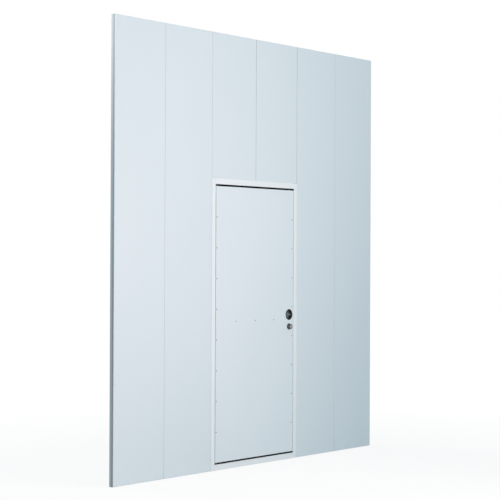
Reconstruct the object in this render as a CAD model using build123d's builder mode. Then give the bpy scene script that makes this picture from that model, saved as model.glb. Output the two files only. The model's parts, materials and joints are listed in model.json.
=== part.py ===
"""Wall bay of folded steel panels with a flush side door hung on top and bottom pivots.

X runs along the wall, Y from the outside to the inside, Z up from the ground, in millimetres.
The origin is on the underside of the door sill, in the middle of the wall,
in the plane of the panels' faces.
"""

import os

from build123d import *

# Wall of panels
PANEL_PITCH = 450.0  # from seam to seam
DOOR_BAYS = 2  # panels that the door frame takes the place of
SIDE_BAYS = 2  # full-height panels on each side of the door
WALL_HEIGHT = 2850.0
WALL_DEPTH = 30.0
PANEL_SHEET = 0.8
PANEL_BEND = 3.0  # outside radius of the folded edges
PANEL_LIP = 12.0  # return at the back of each fold
SEAM_GAP = 0.5
ANCHOR_RADIUS = 5.5
ANCHOR_SPACING = 250.0

# Hat-shaped stiffeners behind the panels
RIB_SHEET = 1.0
RIB_HEIGHT = 18.0
RIB_CROWN = 30.0
RIB_FOOT = 15.0
RIB_END_ROOM = 14.0  # from the panel's edge to the end of the rib
RIB_PITCH = 570.0

# Angles along the two free ends of the wall
END_ANGLE_SHEET = 1.2
END_ANGLE_SIDE_LEG = 17.0
END_ANGLE_BACK_LEG = 28.0

# Door frame
FRAME_HEIGHT = 1900.0
FRAME_DEPTH = 72.0
FRAME_SHEET = 1.6
FRAME_BEND = 2.4  # outside radius of the folds
FRAME_PROUD = 2.0  # the frame's face stands this far in front of the panels
JAMB_FACE = 34.0
HEAD_FACE = 40.0
SILL_FACE = 40.0
STOP_HEIGHT = 16.0
SILL_STOP_HEIGHT = 12.0
THROAT_LIP = 20.0  # side return of the frame next to the wall
FRAME_FIT = 0.25

# Angle brackets that hold the frame to the panels behind it
BRACKET_SHEET = 2.0
BRACKET_WIDTH = 50.0
BRACKET_WALL_LEG = 20.0
BRACKET_FRAME_LEG = 36.0
BRACKET_PITCH = 650.0
BRACKETS_A_SIDE = 3

# Door leaf
LEAF_THICKNESS = 34.0
LEAF_SHEET = 0.8
SIDE_GAP = 6.0
HEAD_GAP = 10.0
SILL_GAP = 10.0
HEEL_RADIUS = 8.0  # rounded hinge edge, about the same axis as the pivots
LEAF_BEND = 2.0
CAP_DEPTH = 25.0
CAP_SHEET = 1.2
LEAF_FIT = 0.2
HINGE_STILE_WIDTH = 30.0
LOCK_STILE_WIDTH = 92.0
LOCK_RAIL_HEIGHT = 60.0
LOCK_RAIL_CENTRE = 964.0

# Weather seal on the stops, and draught strips in the gaps over and under the leaf
SEAL_THICKNESS = 5.0
SEAL_CLEARANCE = 0.4  # between the seal and the heel of the leaf as it swings past
SEAL_MARGIN = 3.0  # bare edge of the stop beside the seal
STRIP_SETBACK = 3.0  # from the frame's face to the draught strip
STRIP_DEPTH = 20.0
STRIP_ROOM = 5.0  # between the draught strip and the leaf

# Pivots
PIVOT_RADIUS = 3.0
PIVOT_CLEARANCE = 0.08
PIVOT_ENGAGEMENT = 16.0
PIVOT_PLATE = 3.0
PIVOT_PLATE_LENGTH = 30.0
PIVOT_PLATE_WIDTH = 12.0
PIVOT_PAD_GAP = 0.3
SOCKET_LENGTH = 26.0

# Sunken turning handle and its latch
HANDLE_INSET = 46.0  # from the leaf's lock edge
HANDLE_Z = 994.0
CUP_RIM_RADIUS = 35.0
CUP_RADIUS = 29.0
CUP_WALL = 1.5
CUP_DEPTH = 19.0
CUP_RIM_THICKNESS = 2.0
CUP_HOLE_CLEARANCE = 0.5
GRIP_LENGTH = 44.0
GRIP_WIDTH = 12.0
GRIP_HEIGHT = 10.0  # of the bar, over the dial
GRIP_RECESS = 2.0  # from the leaf's face to the grip's front
GRIP_CHAMFER = 2.0
DIAL_RADIUS = 25.0
DIAL_GAP = 0.3  # between the dial and the cup's floor
SPINDLE_RADIUS = 5.0
SPINDLE_CLEARANCE = 0.08
SPINDLE_HOLE_CLEARANCE = 1.0
CAM_REACH = 27.0
CAM_WIDTH = 16.0
CAM_HUB_RADIUS = 11.0
CAM_HUB_LENGTH = 14.0
CAM_THICKNESS = 4.0
CAM_BACK_ROOM = 5.5  # between the leaf's back and the cam's hub
KEEPER_SHEET = 2.0
KEEPER_HEIGHT = 44.0
KEEPER_HOOK = 18.0
KEEPER_FOOT = 26.0
KEEPER_ROOM = 5.0  # between the keeper's hook and the cam

# Cylinder lock
LOCK_DROP = 82.0  # below the handle
COLLAR_RADIUS = 19.5
COLLAR_TIP_RADIUS = 17.0
COLLAR_HEIGHT = 18.0
LOCK_BARREL_RADIUS = 14.0
LOCK_BARREL_LENGTH = 22.0
LOCK_HOLE_CLEARANCE = 0.5
PLUG_RADIUS = 7.5
PLUG_LENGTH = 14.0
PLUG_PROUD = 0.6
PLUG_CLEARANCE = 0.2
KEYWAY_WIDTH = 1.6
KEYWAY_HEIGHT = 8.5
KEYWAY_DEPTH = 6.0
TURN_ROSE_RADIUS = 17.0
TURN_ROSE_THICKNESS = 4.0
TURN_LENGTH = 26.0
TURN_WIDTH = 9.0
TURN_HEIGHT = 14.0
FACE_PLATE_HEIGHT = 140.0
FACE_PLATE_WIDTH = 24.0
PLATE_FIT = 0.2
BOLT_SLOT_HEIGHT = 28.0
BOLT_SLOT_WIDTH = 10.0

# Places worked out from the sizes above
frame_half = PANEL_PITCH * DOOR_BAYS / 2
wall_half = frame_half + SIDE_BAYS * PANEL_PITCH
frame_outer = frame_half - FRAME_FIT
opening_half = frame_half - JAMB_FACE
stop_half = opening_half - STOP_HEIGHT
opening_top = FRAME_HEIGHT - HEAD_FACE
stop_top = opening_top - STOP_HEIGHT
sill_stop_top = SILL_FACE + SILL_STOP_HEIGHT
face_y = -FRAME_PROUD
leaf_back_y = face_y + LEAF_THICKNESS
heel_depth = LEAF_THICKNESS - HEEL_RADIUS
# How far the heel turns back past the leaf's back as the door swings
heel_sweep = (heel_depth**2 + HEEL_RADIUS**2) ** 0.5 - heel_depth
stop_y = leaf_back_y + heel_sweep + SEAL_CLEARANCE + SEAL_THICKNESS
frame_back_y = face_y + FRAME_DEPTH
leaf_half = opening_half - SIDE_GAP
leaf_bottom = SILL_FACE + SILL_GAP
leaf_top = opening_top - HEAD_GAP
leaf_height = leaf_top - leaf_bottom
pivot_x = -leaf_half + HEEL_RADIUS
pivot_y = face_y + HEEL_RADIUS
back_skin_y = leaf_back_y - LEAF_SHEET
inset = LEAF_SHEET + LEAF_FIT
inside_front_y = face_y + inset
inside_back_y = back_skin_y - LEAF_FIT
inside_half = leaf_half - inset
handle_x = leaf_half - HANDLE_INSET
lock_z = HANDLE_Z - LOCK_DROP
cup_floor_y = face_y + CUP_DEPTH
grip_front_y = face_y + GRIP_RECESS
grip_back_y = grip_front_y + GRIP_HEIGHT
dial_back_y = cup_floor_y - DIAL_GAP
hub_front_y = leaf_back_y + CAM_BACK_ROOM
cam_back_y = hub_front_y + CAM_HUB_LENGTH
cam_front_y = cam_back_y - CAM_THICKNESS
keeper_back_y = cam_front_y - KEEPER_ROOM
collar_tip_y = face_y - COLLAR_HEIGHT
plug_front_y = collar_tip_y - PLUG_PROUD
plate_z = (HANDLE_Z + lock_z) / 2
plate_y = (face_y + leaf_back_y) / 2
cup_hole_radius = CUP_RADIUS + CUP_WALL + CUP_HOLE_CLEARANCE
lock_hole_radius = LOCK_BARREL_RADIUS + LOCK_HOLE_CLEARANCE
handle_axis = Axis((handle_x, 0, HANDLE_Z), (0, 1, 0))
lock_axis = Axis((handle_x, 0, lock_z), (0, 1, 0))

os.makedirs("parts", exist_ok=True)


def save(part, name):
    part.label = name
    export_step(part, f"parts/{name}.step")


def across(y):
    """Plane across the wall at depth y: x along the wall, y up, facing the outside."""
    return Plane((0, y, 0), x_dir=(1, 0, 0), z_dir=(0, -1, 0))


def through(x):
    """Plane through the wall at x: its x is the depth, its y is up."""
    return Plane((x, 0, 0), x_dir=(0, 1, 0), z_dir=(1, 0, 0))


# Panels: a sheet folded back on all four sides, with a return lip round the open back
def make_panel(name, middle_x, low_z, high_z, has_anchors):
    width = PANEL_PITCH - SEAM_GAP
    height = high_z - low_z
    centre = (middle_x, (low_z + high_z) / 2)
    with BuildPart() as panel:
        with BuildSketch(across(WALL_DEPTH)):
            with Locations(centre):
                Rectangle(width, height)
        extrude(amount=WALL_DEPTH)
        fillet(panel.faces().sort_by(Axis.Y)[0].edges(), PANEL_BEND)
        offset(amount=-PANEL_SHEET, openings=panel.faces().sort_by(Axis.Y)[-1])
        with BuildSketch(across(WALL_DEPTH)):
            with Locations(centre):
                Rectangle(width, height)
                Rectangle(width - 2 * PANEL_LIP, height - 2 * PANEL_LIP, mode=Mode.SUBTRACT)
        extrude(amount=PANEL_SHEET)
        if has_anchors:
            with BuildSketch(Plane.XY.offset(low_z)):
                with Locations((middle_x, WALL_DEPTH / 2)):
                    with GridLocations(ANCHOR_SPACING, 0, 2, 1):
                        Circle(ANCHOR_RADIUS)
            extrude(amount=PANEL_SHEET, mode=Mode.SUBTRACT)
    save(panel.part, name)


# Stiffeners: hat sections across the back of one panel, seated on its face sheet
def make_ribs(name, middle_x, low_z, high_z):
    length = PANEL_PITCH - SEAM_GAP - 2 * RIB_END_ROOM
    count = max(1, round((high_z - low_z) / RIB_PITCH) - 1)
    spacing = (high_z - low_z) / (count + 1)
    with BuildPart() as ribs:
        with BuildSketch(through(middle_x)):
            with Locations((PANEL_SHEET, (low_z + high_z) / 2)):
                with GridLocations(0, spacing, 1, count):
                    Rectangle(RIB_HEIGHT, RIB_CROWN, align=(Align.MIN, Align.CENTER))
                    Rectangle(RIB_SHEET, RIB_CROWN + 2 * RIB_FOOT, align=(Align.MIN, Align.CENTER))
                    Rectangle(
                        RIB_HEIGHT - RIB_SHEET,
                        RIB_CROWN - 2 * RIB_SHEET,
                        align=(Align.MIN, Align.CENTER),
                        mode=Mode.SUBTRACT,
                    )
        extrude(amount=length / 2, both=True)
    save(ribs.part, name)


half_pitch = PANEL_PITCH / 2
outer_x = wall_half - half_pitch
inner_x = outer_x - PANEL_PITCH
over_door_z = FRAME_HEIGHT + SEAM_GAP
make_panel("left_outer_panel", -outer_x, 0, WALL_HEIGHT, True)
make_panel("left_inner_panel", -inner_x, 0, WALL_HEIGHT, True)
make_panel("over_door_left_panel", -half_pitch, over_door_z, WALL_HEIGHT, False)
make_panel("over_door_right_panel", half_pitch, over_door_z, WALL_HEIGHT, False)
make_panel("right_inner_panel", inner_x, 0, WALL_HEIGHT, True)
make_panel("right_outer_panel", outer_x, 0, WALL_HEIGHT, True)
make_ribs("left_outer_ribs", -outer_x, 0, WALL_HEIGHT)
make_ribs("left_inner_ribs", -inner_x, 0, WALL_HEIGHT)
make_ribs("over_door_left_rib", -half_pitch, over_door_z, WALL_HEIGHT)
make_ribs("over_door_right_rib", half_pitch, over_door_z, WALL_HEIGHT)
make_ribs("right_inner_ribs", inner_x, 0, WALL_HEIGHT)
make_ribs("right_outer_ribs", outer_x, 0, WALL_HEIGHT)


# End angles: one leg on the outermost fold, the other over its return lip
def make_end_angle(name, side):
    edge = side * (wall_half - SEAM_GAP / 2)
    with BuildPart() as angle:
        with BuildSketch():
            with BuildLine():
                Polyline(
                    (edge, WALL_DEPTH - END_ANGLE_SIDE_LEG),
                    (edge, WALL_DEPTH),
                    (edge - side * END_ANGLE_BACK_LEG, WALL_DEPTH),
                    (edge - side * END_ANGLE_BACK_LEG, WALL_DEPTH + END_ANGLE_SHEET),
                    (edge + side * END_ANGLE_SHEET, WALL_DEPTH + END_ANGLE_SHEET),
                    (edge + side * END_ANGLE_SHEET, WALL_DEPTH - END_ANGLE_SIDE_LEG),
                    close=True,
                )
            make_face()
        extrude(amount=WALL_HEIGHT)
    save(angle.part, name)


make_end_angle("left_end_angle", -1)
make_end_angle("right_end_angle", 1)


# Jambs: folded steel, open towards the wall, with a rebate for the leaf and a stop behind it
def make_jamb(name, side, has_strike):
    with BuildPart() as jamb:
        with BuildSketch():
            with BuildLine():
                FilletPolyline(
                    (side * frame_outer, face_y + THROAT_LIP),
                    (side * frame_outer, face_y),
                    (side * opening_half, face_y),
                    (side * opening_half, stop_y),
                    (side * stop_half, stop_y),
                    (side * stop_half, frame_back_y),
                    (side * frame_outer, frame_back_y),
                    (side * frame_outer, frame_back_y - THROAT_LIP),
                    radius=FRAME_BEND,
                )
                inwards = Side.RIGHT if side > 0 else Side.LEFT
                offset(amount=FRAME_SHEET, side=inwards, kind=Kind.INTERSECTION)
            make_face()
        extrude(amount=FRAME_HEIGHT)
        if has_strike:
            with BuildSketch(through(side * opening_half)):
                with Locations((plate_y, plate_z)):
                    Rectangle(FACE_PLATE_WIDTH, FACE_PLATE_HEIGHT)
            extrude(amount=side * FRAME_SHEET, mode=Mode.SUBTRACT)
    save(jamb.part, name)


make_jamb("frame_hinge_jamb", -1, False)
make_jamb("frame_lock_jamb", 1, True)

# Head: the jambs' section laid across the top and notched round their stops
head_top = FRAME_HEIGHT - FRAME_FIT
with BuildPart() as head:
    with BuildSketch(through(0)):
        with BuildLine():
            FilletPolyline(
                (face_y + THROAT_LIP, head_top),
                (face_y, head_top),
                (face_y, opening_top),
                (stop_y, opening_top),
                (stop_y, stop_top),
                (frame_back_y, stop_top),
                (frame_back_y, head_top),
                (frame_back_y - THROAT_LIP, head_top),
                radius=FRAME_BEND,
            )
            offset(amount=FRAME_SHEET, side=Side.LEFT, kind=Kind.INTERSECTION)
        make_face()
    extrude(amount=opening_half - FRAME_FIT, both=True)
    with BuildSketch(Plane.XY.offset(stop_top)):
        with Locations((0, stop_y - FRAME_BEND - FRAME_FIT)):
            Rectangle(2 * opening_half, FRAME_DEPTH, align=(Align.CENTER, Align.MIN))
            Rectangle(
                2 * (stop_half - FRAME_FIT),
                FRAME_DEPTH,
                align=(Align.CENTER, Align.MIN),
                mode=Mode.SUBTRACT,
            )
    extrude(amount=FRAME_HEIGHT - stop_top, mode=Mode.SUBTRACT)
save(head.part, "frame_head")

# Sill: a closed box with a low stop, notched like the head
with BuildPart() as sill:
    with BuildSketch(through(0)):
        with BuildLine():
            Polyline(
                (face_y, 0),
                (face_y, SILL_FACE),
                (stop_y, SILL_FACE),
                (stop_y, sill_stop_top),
                (frame_back_y, sill_stop_top),
                (frame_back_y, 0),
                close=True,
            )
        make_face()
        fillet(vertices().filter_by_position(Axis.Y, SILL_FACE, sill_stop_top), FRAME_BEND)
        offset(amount=-FRAME_SHEET, kind=Kind.INTERSECTION, mode=Mode.SUBTRACT)
    extrude(amount=opening_half - FRAME_FIT, both=True)
    with BuildSketch():
        with Locations((0, stop_y - FRAME_BEND - FRAME_FIT)):
            Rectangle(2 * opening_half, FRAME_DEPTH, align=(Align.CENTER, Align.MIN))
            Rectangle(
                2 * (stop_half - FRAME_FIT),
                FRAME_DEPTH,
                align=(Align.CENTER, Align.MIN),
                mode=Mode.SUBTRACT,
            )
    extrude(amount=sill_stop_top, mode=Mode.SUBTRACT)
save(sill.part, "frame_sill")

# Frame brackets: angles from the frame's back lips to the panels' back lips
bracket_back_y = WALL_DEPTH + BRACKET_FRAME_LEG
with BuildPart() as brackets:
    for level in range(BRACKETS_A_SIDE):
        middle_z = FRAME_HEIGHT / 2 + (level - (BRACKETS_A_SIDE - 1) / 2) * BRACKET_PITCH
        for side in (-1, 1):
            with BuildSketch(Plane.XY.offset(middle_z - BRACKET_WIDTH / 2)):
                with BuildLine():
                    Polyline(
                        (side * frame_outer, WALL_DEPTH),
                        (side * (frame_outer + BRACKET_WALL_LEG), WALL_DEPTH),
                        (side * (frame_outer + BRACKET_WALL_LEG), WALL_DEPTH + BRACKET_SHEET),
                        (side * (frame_outer + BRACKET_SHEET), WALL_DEPTH + BRACKET_SHEET),
                        (side * (frame_outer + BRACKET_SHEET), bracket_back_y),
                        (side * frame_outer, bracket_back_y),
                        close=True,
                    )
                make_face()
            extrude(amount=BRACKET_WIDTH)
    for middle_x in (-half_pitch, half_pitch):
        with BuildSketch(through(middle_x)):
            with BuildLine():
                Polyline(
                    (WALL_DEPTH, head_top),
                    (WALL_DEPTH, head_top + BRACKET_WALL_LEG),
                    (WALL_DEPTH + BRACKET_SHEET, head_top + BRACKET_WALL_LEG),
                    (WALL_DEPTH + BRACKET_SHEET, head_top + BRACKET_SHEET),
                    (bracket_back_y, head_top + BRACKET_SHEET),
                    (bracket_back_y, head_top),
                    close=True,
                )
            make_face()
        extrude(amount=BRACKET_WIDTH / 2, both=True)
save(brackets.part, "frame_brackets")

# Seal: rubber strips on the stops behind the edges of the shut leaf, and draught strips
# from the pivot plates to the lock jamb under the head and on the sill
seal_low = sill_stop_top + SEAL_MARGIN
seal_high = stop_top - SEAL_MARGIN
seal_width = STOP_HEIGHT - 2 * SEAL_MARGIN
sill_seal_width = SILL_STOP_HEIGHT - 2 * SEAL_MARGIN
seal_length = 2 * (stop_half - SEAL_MARGIN)
strip_start = -opening_half + PIVOT_PLATE_LENGTH + 2 * FRAME_FIT
strip_length = opening_half - FRAME_FIT - strip_start
with BuildPart() as seal:
    with BuildSketch(across(stop_y)):
        with Locations((0, (seal_low + seal_high) / 2)):
            with GridLocations(stop_half + opening_half, 0, 2, 1):
                Rectangle(seal_width, seal_high - seal_low)
        with Locations((0, stop_top + SEAL_MARGIN)):
            Rectangle(seal_length, seal_width, align=(Align.CENTER, Align.MIN))
        with Locations((0, SILL_FACE + SEAL_MARGIN)):
            Rectangle(seal_length, sill_seal_width, align=(Align.CENTER, Align.MIN))
    extrude(amount=SEAL_THICKNESS)
    with BuildSketch(through(strip_start)):
        with Locations((face_y + STRIP_SETBACK, opening_top)):
            Rectangle(STRIP_DEPTH, HEAD_GAP - STRIP_ROOM, align=(Align.MIN, Align.MAX))
        with Locations((face_y + STRIP_SETBACK, SILL_FACE)):
            Rectangle(STRIP_DEPTH, SILL_GAP - STRIP_ROOM, align=(Align.MIN, Align.MIN))
    extrude(amount=strip_length)
save(seal.part, "door_seal")

# Top pivot: a plate under the head with a pin that reaches down into the leaf
with BuildPart() as top_pivot:
    with BuildSketch(Plane.XY.offset(opening_top)):
        with Locations((-opening_half + FRAME_FIT, pivot_y)):
            Rectangle(PIVOT_PLATE_LENGTH, PIVOT_PLATE_WIDTH, align=(Align.MIN, Align.CENTER))
    extrude(amount=-PIVOT_PLATE)
    with BuildSketch(Plane.XY.offset(opening_top)):
        with Locations((pivot_x, pivot_y)):
            Circle(PIVOT_RADIUS)
    extrude(amount=-(HEAD_GAP + PIVOT_ENGAGEMENT))
save(top_pivot.part, "top_pivot")

# Bottom pivot: the same on the sill, with a square pad that carries the leaf's weight
with BuildPart() as bottom_pivot:
    with BuildSketch(Plane.XY.offset(SILL_FACE)):
        with Locations((-opening_half + FRAME_FIT, pivot_y)):
            Rectangle(PIVOT_PLATE_LENGTH, PIVOT_PLATE_WIDTH, align=(Align.MIN, Align.CENTER))
    extrude(amount=PIVOT_PLATE)
    with BuildSketch(Plane.XY.offset(SILL_FACE)):
        with Locations((pivot_x, pivot_y)):
            Rectangle(PIVOT_PLATE_WIDTH, PIVOT_PLATE_WIDTH)
    extrude(amount=SILL_GAP - PIVOT_PAD_GAP)
    with BuildSketch(Plane.XY.offset(SILL_FACE)):
        with Locations((pivot_x, pivot_y)):
            Circle(PIVOT_RADIUS)
    extrude(amount=SILL_GAP + PIVOT_ENGAGEMENT)
save(bottom_pivot.part, "bottom_pivot")


# Plan of the leaf, drawn smaller for what fits inside it, with the hinge edge rounded about the pivots
def leaf_plan(front, back, smaller):
    with Locations((0, front)):
        Rectangle(2 * (leaf_half - smaller), back - front, align=(Align.CENTER, Align.MIN))
    fillet(vertices().group_by(Axis.Y)[0].sort_by(Axis.X)[0], HEEL_RADIUS - smaller)
    if LEAF_BEND > smaller:
        fillet(vertices().group_by(Axis.Y)[0].sort_by(Axis.X)[-1], LEAF_BEND - smaller)


# Front skin: one sheet folded back along both upright edges
with BuildPart() as front_skin:
    with BuildSketch(Plane.XY.offset(leaf_bottom)):
        leaf_plan(face_y, back_skin_y, 0)
    extrude(amount=leaf_height)
    with BuildSketch(Plane.XY.offset(leaf_bottom)):
        leaf_plan(face_y + LEAF_SHEET, leaf_back_y, LEAF_SHEET)
    extrude(amount=leaf_height, mode=Mode.SUBTRACT)
    with BuildSketch(across(face_y)):
        with Locations((handle_x, HANDLE_Z)):
            Circle(cup_hole_radius)
        with Locations((handle_x, lock_z)):
            Circle(lock_hole_radius)
    extrude(amount=-LEAF_SHEET, mode=Mode.SUBTRACT)
    with BuildSketch(through(leaf_half)):
        with Locations((plate_y, plate_z)):
            Rectangle(FACE_PLATE_WIDTH, FACE_PLATE_HEIGHT)
    extrude(amount=-LEAF_SHEET, mode=Mode.SUBTRACT)
save(front_skin.part, "leaf_front_skin")

# Back skin: a flat sheet over the folds, pierced for the handle's spindle
with BuildPart() as back_skin:
    with BuildSketch(across(leaf_back_y)):
        with Locations((0, (leaf_bottom + leaf_top) / 2)):
            Rectangle(2 * leaf_half, leaf_height)
        with Locations((handle_x, HANDLE_Z)):
            Circle(SPINDLE_RADIUS + SPINDLE_HOLE_CLEARANCE, mode=Mode.SUBTRACT)
    extrude(amount=LEAF_SHEET)
save(back_skin.part, "leaf_back_skin")


# Caps: pressed trays that close the leaf's ends, with a hole for the pivot pin
def make_cap(name, end_z, inwards):
    with BuildPart() as cap:
        with BuildSketch(Plane.XY.offset(end_z)):
            leaf_plan(inside_front_y, inside_back_y, inset)
        extrude(amount=inwards * CAP_DEPTH)
        with BuildSketch(Plane.XY.offset(end_z + inwards * CAP_SHEET)):
            leaf_plan(inside_front_y + CAP_SHEET, inside_back_y - CAP_SHEET, inset + CAP_SHEET)
        extrude(amount=inwards * CAP_DEPTH, mode=Mode.SUBTRACT)
        with BuildSketch(Plane.XY.offset(end_z)):
            with Locations((pivot_x, pivot_y)):
                Circle(PIVOT_RADIUS + PIVOT_CLEARANCE)
        extrude(amount=inwards * CAP_SHEET, mode=Mode.SUBTRACT)
    save(cap.part, name)


make_cap("leaf_top_cap", leaf_top, -1)
make_cap("leaf_bottom_cap", leaf_bottom, 1)


# Sockets: steel blocks inside the caps, bored for the pivot pins
def make_socket(name, end_z, inwards):
    room = CAP_SHEET + LEAF_FIT
    left = -inside_half + room
    with BuildPart() as socket:
        with BuildSketch(Plane.XY.offset(end_z + inwards * CAP_SHEET)):
            leaf_plan(inside_front_y + room, inside_back_y - room, inset + room)
            with Locations((left + SOCKET_LENGTH, 0)):
                Rectangle(
                    2 * leaf_half,
                    4 * LEAF_THICKNESS,
                    align=(Align.MIN, Align.CENTER),
                    mode=Mode.SUBTRACT,
                )
            with Locations((pivot_x, pivot_y)):
                Circle(PIVOT_RADIUS + PIVOT_CLEARANCE, mode=Mode.SUBTRACT)
        extrude(amount=inwards * (CAP_DEPTH - CAP_SHEET))
    save(socket.part, name)


make_socket("top_pivot_socket", leaf_top, -1)
make_socket("bottom_pivot_socket", leaf_bottom, 1)


# Stiles: channels behind the two upright edges of the front skin, where its rows of rivets are;
# the lock stile is cut out round the handle and the lock
def make_stile(name, low_x, high_x, has_cut_out):
    low_z = leaf_bottom + CAP_DEPTH + LEAF_FIT
    length = leaf_top - CAP_DEPTH - LEAF_FIT - low_z
    inner_width = high_x - low_x - 2 * CAP_SHEET
    with BuildPart() as stile:
        with BuildSketch(Plane.XY.offset(low_z)):
            leaf_plan(inside_front_y, inside_back_y, inset)
            with Locations((low_x, inside_front_y)):
                Rectangle(high_x - low_x, LEAF_THICKNESS, align=(Align.MIN, Align.MIN), mode=Mode.INTERSECT)
        extrude(amount=length)
        with BuildSketch(Plane.XY.offset(low_z)):
            leaf_plan(inside_front_y + CAP_SHEET, leaf_back_y, inset + CAP_SHEET)
            with Locations((low_x + CAP_SHEET, inside_front_y)):
                Rectangle(inner_width, LEAF_THICKNESS, align=(Align.MIN, Align.MIN), mode=Mode.INTERSECT)
        extrude(amount=length, mode=Mode.SUBTRACT)
        if has_cut_out:
            with BuildSketch(across(inside_front_y)):
                with Locations((handle_x, plate_z)):
                    Rectangle(2 * cup_hole_radius, LOCK_DROP + 2 * cup_hole_radius)
            extrude(amount=-CAP_SHEET, mode=Mode.SUBTRACT)
    save(stile.part, name)


hinge_stile_end = -inside_half + HINGE_STILE_WIDTH
lock_stile_start = inside_half - LOCK_STILE_WIDTH
make_stile("leaf_hinge_stile", -inside_half, hinge_stile_end, False)
make_stile("leaf_lock_stile", lock_stile_start, inside_half, True)

# Lock rail: the channel across the leaf behind the middle row of rivets
with BuildPart() as lock_rail:
    with BuildSketch(through(hinge_stile_end + LEAF_FIT)):
        with Locations((inside_front_y, LOCK_RAIL_CENTRE)):
            Rectangle(inside_back_y - inside_front_y, LOCK_RAIL_HEIGHT, align=(Align.MIN, Align.CENTER))
        with Locations((inside_front_y + CAP_SHEET, LOCK_RAIL_CENTRE)):
            Rectangle(
                LEAF_THICKNESS,
                LOCK_RAIL_HEIGHT - 2 * CAP_SHEET,
                align=(Align.MIN, Align.CENTER),
                mode=Mode.SUBTRACT,
            )
    extrude(amount=lock_stile_start - hinge_stile_end - 2 * LEAF_FIT)
save(lock_rail.part, "leaf_lock_rail")

# Handle cup: a round dish let into the leaf, with a tapered rim and a hole for the spindle
with BuildPart() as cup:
    with BuildSketch(Plane((handle_x, 0, HANDLE_Z))):
        with BuildLine():
            Polyline(
                (SPINDLE_RADIUS + SPINDLE_CLEARANCE, cup_floor_y),
                (CUP_RADIUS, cup_floor_y),
                (CUP_RADIUS, face_y - CUP_RIM_THICKNESS),
                (CUP_RIM_RADIUS, face_y),
                (CUP_RADIUS + CUP_WALL, face_y),
                (CUP_RADIUS + CUP_WALL, cup_floor_y + CUP_WALL),
                (SPINDLE_RADIUS + SPINDLE_CLEARANCE, cup_floor_y + CUP_WALL),
                close=True,
            )
        make_face()
    revolve(axis=handle_axis)
save(cup.part, "handle_cup")

# Turning grip: a bar across a round dial, with its spindle through the leaf
with BuildPart() as grip:
    with BuildSketch(across(grip_back_y)):
        with Locations((handle_x, HANDLE_Z)):
            Rectangle(GRIP_LENGTH, GRIP_WIDTH)
    extrude(amount=GRIP_HEIGHT)
    chamfer(grip.faces().sort_by(Axis.Y)[0].edges(), GRIP_CHAMFER)
    with BuildSketch(across(dial_back_y)):
        with Locations((handle_x, HANDLE_Z)):
            Circle(DIAL_RADIUS)
    extrude(amount=dial_back_y - grip_back_y)
    with BuildSketch(across(cam_back_y)):
        with Locations((handle_x, HANDLE_Z)):
            Circle(SPINDLE_RADIUS)
    extrude(amount=cam_back_y - dial_back_y)
save(grip.part, "turn_grip")

# Latch cam: an arm with a six-sided hub on the inner end of the spindle,
# upright when the door is free to open
with BuildPart() as cam:
    with BuildSketch(across(cam_back_y)):
        with Locations((handle_x, HANDLE_Z)):
            RegularPolygon(CAM_HUB_RADIUS, side_count=6)
    extrude(amount=CAM_HUB_LENGTH)
    with BuildSketch(across(cam_back_y)):
        with Locations((handle_x, HANDLE_Z)):
            Rectangle(CAM_WIDTH, CAM_REACH, align=(Align.CENTER, Align.MIN))
    extrude(amount=CAM_THICKNESS)
    with BuildSketch(across(cam_back_y)):
        with Locations((handle_x, HANDLE_Z)):
            Circle(SPINDLE_RADIUS + SPINDLE_CLEARANCE)
    extrude(amount=CAM_HUB_LENGTH, mode=Mode.SUBTRACT)
save(cam.part, "latch_cam")

# Latch keeper: a hook on the lock jamb's stop that the turned cam comes behind
with BuildPart() as keeper:
    with BuildSketch(Plane.XY.offset(HANDLE_Z)):
        with BuildLine():
            Polyline(
                (stop_half, keeper_back_y - KEEPER_SHEET),
                (stop_half - KEEPER_HOOK, keeper_back_y - KEEPER_SHEET),
                (stop_half - KEEPER_HOOK, keeper_back_y),
                (stop_half - KEEPER_SHEET, keeper_back_y),
                (stop_half - KEEPER_SHEET, keeper_back_y - KEEPER_SHEET + KEEPER_FOOT),
                (stop_half, keeper_back_y - KEEPER_SHEET + KEEPER_FOOT),
                close=True,
            )
        make_face()
    extrude(amount=KEEPER_HEIGHT / 2, both=True)
save(keeper.part, "latch_keeper")

# Lock cylinder: a tapered collar on the leaf's face with a barrel behind it, bored for the key plug
with BuildPart() as cylinder:
    with BuildSketch(Plane((handle_x, 0, lock_z))):
        with BuildLine():
            Polyline(
                (0, plug_front_y + PLUG_LENGTH),
                (PLUG_RADIUS + PLUG_CLEARANCE, plug_front_y + PLUG_LENGTH),
                (PLUG_RADIUS + PLUG_CLEARANCE, collar_tip_y),
                (COLLAR_TIP_RADIUS, collar_tip_y),
                (COLLAR_RADIUS, face_y),
                (LOCK_BARREL_RADIUS, face_y),
                (LOCK_BARREL_RADIUS, face_y + LOCK_BARREL_LENGTH),
                (0, face_y + LOCK_BARREL_LENGTH),
                close=True,
            )
        make_face()
    revolve(axis=lock_axis)
save(cylinder.part, "lock_cylinder")

# Key plug: the round core that the key goes into
with BuildPart() as plug:
    with BuildSketch(across(plug_front_y)):
        with Locations((handle_x, lock_z)):
            Circle(PLUG_RADIUS)
    extrude(amount=-PLUG_LENGTH)
    with BuildSketch(across(plug_front_y)):
        with Locations((handle_x, lock_z)):
            Rectangle(KEYWAY_WIDTH, KEYWAY_HEIGHT)
    extrude(amount=-KEYWAY_DEPTH, mode=Mode.SUBTRACT)
save(plug.part, "key_plug")

# Thumb turn: the lock's inside knob on its round rose
with BuildPart() as thumb_turn:
    with BuildSketch(across(leaf_back_y)):
        with Locations((handle_x, lock_z)):
            Circle(TURN_ROSE_RADIUS)
    extrude(amount=-TURN_ROSE_THICKNESS)
    with BuildSketch(across(leaf_back_y + TURN_ROSE_THICKNESS)):
        with Locations((handle_x, lock_z)):
            SlotOverall(TURN_LENGTH, TURN_WIDTH, rotation=90)
    extrude(amount=-TURN_HEIGHT)
save(thumb_turn.part, "thumb_turn")


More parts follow.
